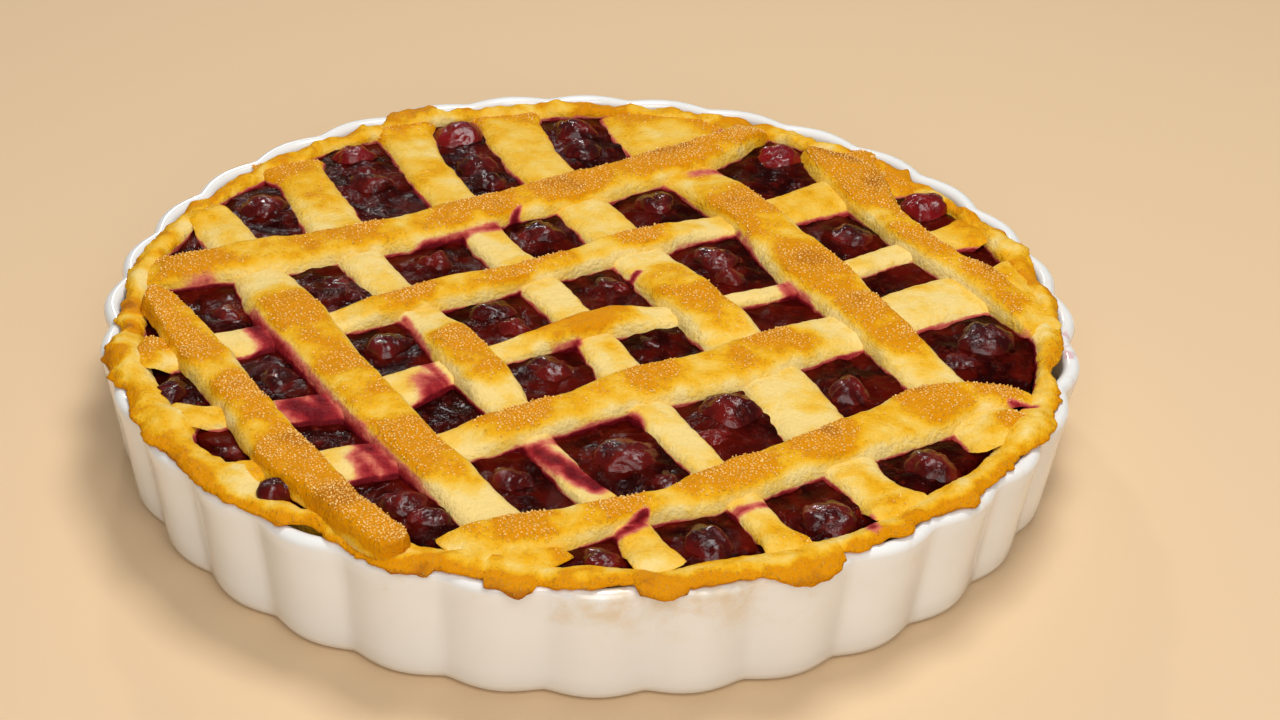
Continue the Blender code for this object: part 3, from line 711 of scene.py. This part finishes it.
def makeStrip(name, path, marks, material, seed):
    overBorder = name == lattice["overBorder"]
    topPoints = lattice["topPoints"]
    around = topPoints + lattice["bottomPoints"]
    length = path[-1][2]
    along = len(path) - 1

    def place(i, j):
        point, width, at = path[j]
        before, after = path[max(j - 1, 0)][0], path[min(j + 1, along)][0]
        forward = (after - before).normalized()
        side = Vector((-forward.y, forward.x))
        if i < topPoints:
            across = -math.cos(math.pi * i / (topPoints - 1))
            rise = max(1.0 - abs(across) ** 5, 0.0) ** 0.75
        else:
            across = 1.0 - 2.0 * (i - topPoints + 1) / (lattice["bottomPoints"] + 1)
            rise = 0.0
        ragged = 0.50 * rough(at, across, 0.0, 5.0, seed + 3.0) + 0.34 * rough(at, across, 0.0, 2.0, seed)
        widen = 1.0 + 0.06 * rough(at, 0.0, 0.0, 16.0, seed) + ragged * 2.0 / width
        away = min(at, length - at)
        rounding = lattice["tongueRounding"] if overBorder else lattice["endRounding"]
        end = math.sqrt(max(0.02, 1.0 - (1.0 - min(away / rounding, 1.0)) ** 2))
        x, y = point + side * (width / 2 * across * widen * end)
        radius = math.hypot(x, y)
        level = weaveLevel(marks, at)
        top = dome(x, y) + lattice["weave"] * level + lattice["crest"]
        base = jellyLevel(x, y) - 1.6
        if overBorder:
            top += lattice["tongueLift"] * smoothstep((radius - 118.0) / 10.0)
            base = max(base, top - 5.0)
        lip = dish["height"] + borderTop(math.degrees(math.atan2(y, x)))
        onBorder = ramp(radius, 119.0, 128.0)
        if not overBorder:
            sunk = lattice["endSunk"] * ramp(6.0 - away, 0.0, 6.0)
            top += (lip + 0.1 - top) * onBorder - sunk * onBorder
        base += (lip - 1.5 - base) * onBorder
        lumps = 0.45 * rough(x, y, seed * 3.0, 10.0, seed) + 0.28 * rough(x, y, seed, 4.0, seed)
        lumps += 0.12 * rough(x, y, 0.0, 1.7, seed)
        z = base + (top - base) * rise + lumps * min(rise * 1.5, 1.0)
        return (x, y, z)

    bm = wrapGrid(around, along, place)
    obj = makeObject(name.replace("strip_", "pastry_"), bm, material)

    def bake(x, y, z):
        above = z - dome(x, y)
        crest = ramp(above, 0.6, 3.2)
        rim = ramp(math.hypot(x, y), 112.0, 127.0)
        back = ramp(y, 20.0, 70.0)
        lumps = 0.40 * rough(x, y, 0.0, 13.0, seed) + 0.25 * rough(x, y, z, 5.0, seed)
        level = 0.12 + 0.52 * crest + 0.22 * back + (0.30 + 0.15 * back) * rim
        return level + lumps * ramp(above, -1.5, 1.0) + toastAt(x, y) * ramp(above, -0.5, 1.2)

    setAttribute(obj, "bake", bake)
    setAttribute(obj, "juice", juiceAt)
    finishPiece(obj, "lattice_crust", name)


def trimPath(path, name):
    # the strips stop on the border, except the one whose two ends lie over it
    if name == lattice["overBorder"]:
        return path
    stop = lattice["endRadius"]
    return [spot for spot in path if spot[0].length < stop - 2.0 * spot[0].y / spot[0].length]


def makeLattice(material):
    strips = {**lattice["down"], **lattice["cross"]}
    coarse = {name: smoothPath(points, lattice["coarseStep"]) for name, points in strips.items()}
    seed = 1.0
    for name, points in strips.items():
        path = trimPath(smoothPath(points, lattice["step"]), name)
        offset = path[0][2]
        marks = [(at - offset, level) for at, level in weaveMarks(name, coarse)]
        path = [(point, width, at - offset) for point, width, at in path]
        makeStrip(name, path, marks, material, seed)
        seed += 1.37


# Coarse sugar on the browned crests

sugar = {
    "grains": 9000,
    "batch": 100,
    "smallest": 0.25,
    "largest": 0.45,
    "lowestBake": 0.74,
    "color": (0.82, 0.44, 0.07),
    "paleColor": (0.90, 0.62, 0.22),
}


def sugarMaterial():
    g = Graph("sugar")
    tone = g.mix(g.noise(400.0, 2.0).ramp(0.35, 0.65), sugar["color"], sugar["paleColor"])
    return g.finish(Base_Color=tone, Roughness=0.35, Specular_IOR_Level=0.3)


def makeSugar():
    # each grain is a small turned cube, half sunk where a strip is baked, made in batches to be quick
    dice = random.Random(5)
    spots = []
    for obj in bpy.context.scene.objects:
        if not obj.name.startswith("pastry_"):
            continue
        bakes = [value.value for value in obj.data.attributes["bake"].data]
        for vert, bake in zip(obj.data.vertices, bakes):
            if vert.normal.z > 0.75 and bake + dice.uniform(-0.3, 0.3) > sugar["lowestBake"]:
                spots.append(vert.co / mm)
    chosen = dice.sample(spots, min(sugar["grains"], len(spots)))
    bm = bmesh.new()
    for start in range(0, len(chosen), sugar["batch"]):
        batch = bmesh.new()
        for spot in chosen[start:start + sugar["batch"]]:
            size = dice.uniform(sugar["smallest"], sugar["largest"])
            shift = Vector((dice.uniform(-0.4, 0.4), dice.uniform(-0.4, 0.4), size * 0.1))
            turn = Matrix.Rotation(dice.uniform(0, 6.28), 4, "Z")
            tilt = Matrix.Rotation(dice.uniform(0, 1.5), 4, "X")
            bmesh.ops.create_cube(batch, size=size, matrix=Matrix.Translation(spot + shift) @ turn @ tilt)
        grains = bpy.data.meshes.new("grains")
        batch.to_mesh(grains)
        batch.free()
        bm.from_mesh(grains)
        bpy.data.meshes.remove(grains)
    obj = makeObject("sugarGrains", bm, sugarMaterial(), smooth=False)
    finishPiece(obj, "lattice_crust")


# The filling

filling = {
    "step": 1.15,
    "radius": 127.6,
    "floorGap": 0.3,
    "roomStep": 3.0,
    # each finish: main colour, painted shade in the hollows of the wrinkles, shine
    "jelly": ((0.078, 0.003, 0.001), (0.013, 0.0004, 0.0002), 0.026),
    "cherry": ((0.140, 0.006, 0.004), (0.030, 0.001, 0.001), 0.23),
    "brightColor": (0.20, 0.004, 0.006),
    "speckColor": (0.30, 0.030, 0.014),
    # each cherry: (x, y, radius, height over the jelly)
    "cherries": (
        (10, -79, 10.2, 3.6), (38, -57, 10.2, 3.2), (71, -44, 9.2, 2.6), (-47, -103, 9.7, 3.0),
        (-40, -109, 7.2, 2.2), (-20, -92, 7.7, 2.4), (31, -116, 9.2, 2.8), (62, -104, 9.7, 2.8),
        (91, -78, 9.7, 3.0), (112, -14, 10.7, 4.0), (102, 66, 9.7, 4.2), (58, 98, 9.7, 3.8),
        (-45, 106, 9.7, 3.6), (-38, 84, 9.2, 2.4), (-8, 112, 10.2, 3.8), (-5, 98, 9.2, 2.6),
        (-76, 90, 9.2, 3.0), (-70, 70, 9.2, 2.6), (-101, 53, 9.7, 2.8), (-75, 8, 9.2, 2.4),
        (-47, 21, 8.7, 2.2), (-28, -8, 9.7, 2.8), (-16, 40, 9.2, 2.4), (19, 62, 9.2, 2.2),
        (5, 10, 8.7, 2.2), (36, 27, 9.2, 2.4), (77, 45, 9.2, 2.2), (-56, -28, 9.2, 2.6),
        (-11, -38, 9.2, 2.6), (17, -20, 8.2, 1.8), (-85, -45, 9.2, 2.4), (-79.5, -101.5, 6.3, 7.6),
        (-114, -52, 8.2, 2.2), (-94, -80, 7.2, 2.0), (4, -125, 8.2, 2.0), (56, -8, 7.7, 1.6),
        (-66, -54, 7.5, 1.2), (-19, -103, 7.0, 1.6), (20, -90, 7.0, 1.6), (34, -68, 7.5, 1.8),
        (83, -95, 7.0, 1.8), (104, -24, 7.5, 1.6), (66, 86, 7.5, 2.0), (-33, 73, 7.5, 1.8),
        (-72, 78, 7.5, 1.6), (-14, 104, 7.5, 1.8), (-92, 52, 7.0, 1.8), (-68, 0, 7.0, 1.6),
        (-22, -16, 7.0, 1.6), (40, 17, 7.5, 1.6), (-49, -38, 7.0, 1.6), (-104, -12, 7.5, 1.4),
    ),
    # the cherries whose skin is a brighter red, and how far that reaches from each middle
    "bright": ((102, 66), (58, 98), (-45, 106), (-76, 90)),
    "brightReach": 11.0,
}


def jellySurface(x, y):
    z = jellyLevel(x, y) - 0.3
    z += 0.9 * rough(x, y, 0.0, 11.0, 2.0)
    z += 0.6 * rough(x, y, 0.0, 4.5, 7.0) + 0.30 * rough(x, y, 0.0, 2.6, 4.0)
    for cx, cy, radius, _ in filling["cherries"]:
        away = math.hypot(x - cx, y - cy)
        if away < radius * 1.6:
            z += 0.5 * ramp(radius * 1.5 - away, 0.0, radius * 0.7)
    return z


def fruitMaterial(name, finish):
    base, shade, shine = finish
    g = Graph(name)
    broad = g.noise(90.0, 4.0, 0.55, 0.4)
    fine = g.noise(380.0, 4.0, 0.6, 0.3)
    bright = g.attribute("bright")
    # painted shade: the colour turns to the shade colour where the wrinkle bump is low
    dark = g.mix(broad.ramp(0.35, 0.68), shade, base)
    red = g.mix(bright, dark, filling["brightColor"])
    color = g.mix(fine.ramp(0.55, 0.8) * 0.35, red, filling["speckColor"])
    skin = g.noise(620.0, 3.0, 0.55, 0.8)
    roughness = 0.11 + fine * 0.10
    wrinkles = g.bump(broad, 0.0020, 0.8)
    folds = g.bump(fine, 0.0007, 0.7, wrinkles)
    normal = g.bump(skin, 0.00020, 0.5, folds)
    return g.finish(Base_Color=color, Roughness=roughness, Coat_Weight=0.75 * shine, Coat_Roughness=0.04,
                    Normal=normal, Specular_IOR_Level=shine)


def makeJelly():
    step = filling["step"]
    count = int(2 * (filling["radius"] + 3.0) / step)
    size = count * step / 2
    bm = bmesh.new()
    bmesh.ops.create_grid(bm, x_segments=count, y_segments=count, size=size)
    outside = [v for v in bm.verts if math.hypot(v.co.x, v.co.y) > filling["radius"]]
    bmesh.ops.delete(bm, geom=outside, context="VERTS")
    for vert in bm.verts:
        vert.co.z = jellySurface(vert.co.x, vert.co.y)
    rim = [e for e in bm.edges if e.is_boundary]
    low = dish["floor"] + filling["floorGap"]
    wall = bmesh.ops.extrude_edge_only(bm, edges=rim)
    fresh = [v for v in wall["geom"] if isinstance(v, bmesh.types.BMVert)]
    for vert in fresh:
        vert.co.z = low
        vert.co.x *= 0.97
        vert.co.y *= 0.97
    bmesh.ops.holes_fill(bm, edges=[e for e in bm.edges if e.is_boundary], sides=0)
    obj = makeObject("cherryJelly", bm, fruitMaterial("jelly", filling["jelly"]))
    setAttribute(obj, "bright", lambda x, y, z: 0.0)
    finishPiece(obj, "cherry_filling", "filling")


def roomBetween(x, y, paths):
    # distance from a place to the side of the nearest strip
    here = Vector((x, y))
    return min((spot - here).length - width / 2 for path in paths for spot, width, _ in path)


def makeCherries():
    strips = [*lattice["down"].values(), *lattice["cross"].values()]
    paths = [smoothPath(points, filling["roomStep"]) for points in strips]
    bm = bmesh.new()
    dice = random.Random(11)
    for cx, cy, radius, proud in filling["cherries"]:
        made = bmesh.ops.create_icosphere(bm, subdivisions=4, radius=radius)["verts"]
        seed = dice.uniform(0.0, 40.0)
        stem = Vector((dice.uniform(-1, 1), dice.uniform(-1, 1), dice.uniform(0.0, 0.8))).normalized()
        for vert in made:
            way = vert.co.normalized()
            p = way * radius
            fold = 1.0 - abs(rough(p.x, p.y, p.z, 5.0, seed))
            shrink = 1.1 * fold ** 6 + 1.2 * rough(p.x, p.y, p.z, 7.0, seed)
            shrink += 0.40 * rough(p.x, p.y, p.z, 2.8, seed)
            dimple = 1.4 * ramp(way.dot(stem), 0.86, 1.0)
            vert.co = way * (radius - shrink - dimple)
        squash = (dice.uniform(0.9, 1.04), dice.uniform(0.84, 0.98), dice.uniform(0.78, 0.92))
        bmesh.ops.scale(bm, verts=made, vec=squash)
        turn = Matrix.Rotation(dice.uniform(0, 6.28), 3, "Z")
        tilt = Matrix.Rotation(dice.uniform(-0.5, 0.5), 3, "X")
        bmesh.ops.rotate(bm, verts=made, matrix=turn @ tilt)
        crowded = max(radius * 0.72 - roomBetween(cx, cy, paths), 0.0)
        middle = jellyLevel(cx, cy) + proud + 0.9 - crowded * 0.7 - radius * squash[2]
        bmesh.ops.translate(bm, verts=made, vec=(cx, cy, middle))
    obj = makeObject("cherries", bm, fruitMaterial("cherry", filling["cherry"]))

    def bright(x, y, z):
        away = min(math.hypot(x - bx, y - by) for bx, by in filling["bright"])
        near = ramp(filling["brightReach"] - away, 0.0, 5.0)
        return near * (0.75 + 0.5 * rough(x, y, z, 4.0, 3.0))

    setAttribute(obj, "bright", bright)
    finishPiece(obj, "cherry_filling", "filling")


# Floor, light and camera

studio = {
    "floorColor": (0.74, 0.54, 0.335),
    "paleFloor": (0.78, 0.58, 0.37),
    "floorHalf": 4000.0,
    "floorPlace": -0.0003,
    "skyColor": (0.95, 0.93, 0.90),
    "skyStrength": 0.12,
    "lens": 76.2,
    "filmWidth": 36.0,
    "cameraPlace": (0.0, -0.6740, 0.4333),
    "pitch": 31.50,
    "yaw": 1.21,
    "roll": 2.40,
    # name: (place, size, power, color)
    "lamps": {
        "top": ((0.18, 0.15, 1.20), 0.40, 8.7, (1.0, 0.985, 0.965)),
        "front": ((0.10, -1.15, 0.95), 1.1, 15.0, (1.0, 0.99, 0.97)),
        "back": ((-0.35, 1.50, 0.85), 0.10, 4.0, (1.0, 0.98, 0.96)),
    },
}


def makeStudio():
    g = Graph("floor")
    tone = g.mix(g.noise(4.0, 2.0) * 0.3, studio["floorColor"], studio["paleFloor"])
    material = g.finish(Base_Color=tone, Roughness=0.8, Specular_IOR_Level=0.15)
    bm = bmesh.new()
    bmesh.ops.create_grid(bm, x_segments=2, y_segments=2, size=studio["floorHalf"])
    floor = makeObject("floor", bm, material)
    floor.location.z = studio["floorPlace"]
    world = bpy.data.worlds.new("studio")
    world.use_nodes = True
    sky = world.node_tree.nodes["Background"]
    sky.inputs["Color"].default_value = (*studio["skyColor"], 1.0)
    sky.inputs["Strength"].default_value = studio["skyStrength"]
    bpy.context.scene.world = world
    for name, (place, size, power, color) in studio["lamps"].items():
        light = bpy.data.lights.new(name, "AREA")
        light.size = size
        light.energy = power
        light.color = color
        lamp = bpy.data.objects.new(name, light)
        lamp.location = place
        lamp.rotation_euler = (-Vector(place)).to_track_quat("-Z", "Y").to_euler()
        bpy.context.scene.collection.objects.link(lamp)
    camera = bpy.data.cameras.new("camera")
    camera.lens = studio["lens"]
    camera.sensor_width = studio["filmWidth"]
    eye = bpy.data.objects.new("camera", camera)
    turn = (Matrix.Rotation(-math.radians(studio["yaw"]), 4, "Z")
            @ Matrix.Rotation(math.radians(90.0 - studio["pitch"]), 4, "X")
            @ Matrix.Rotation(math.radians(studio["roll"]), 4, "Z"))
    eye.matrix_world = Matrix.Translation(studio["cameraPlace"]) @ turn
    bpy.context.scene.collection.objects.link(eye)
    bpy.context.scene.camera = eye
    bpy.context.scene.view_settings.view_transform = "Standard"
    print("studio ready")


def main():
    makeDish()
    makeBorder(crustMaterial("borderCrust", crustTones))
    makeLattice(crustMaterial("latticeCrust", crustTones))
    makeSugar()
    makeJelly()
    makeCherries()
    makeStudio()


main()
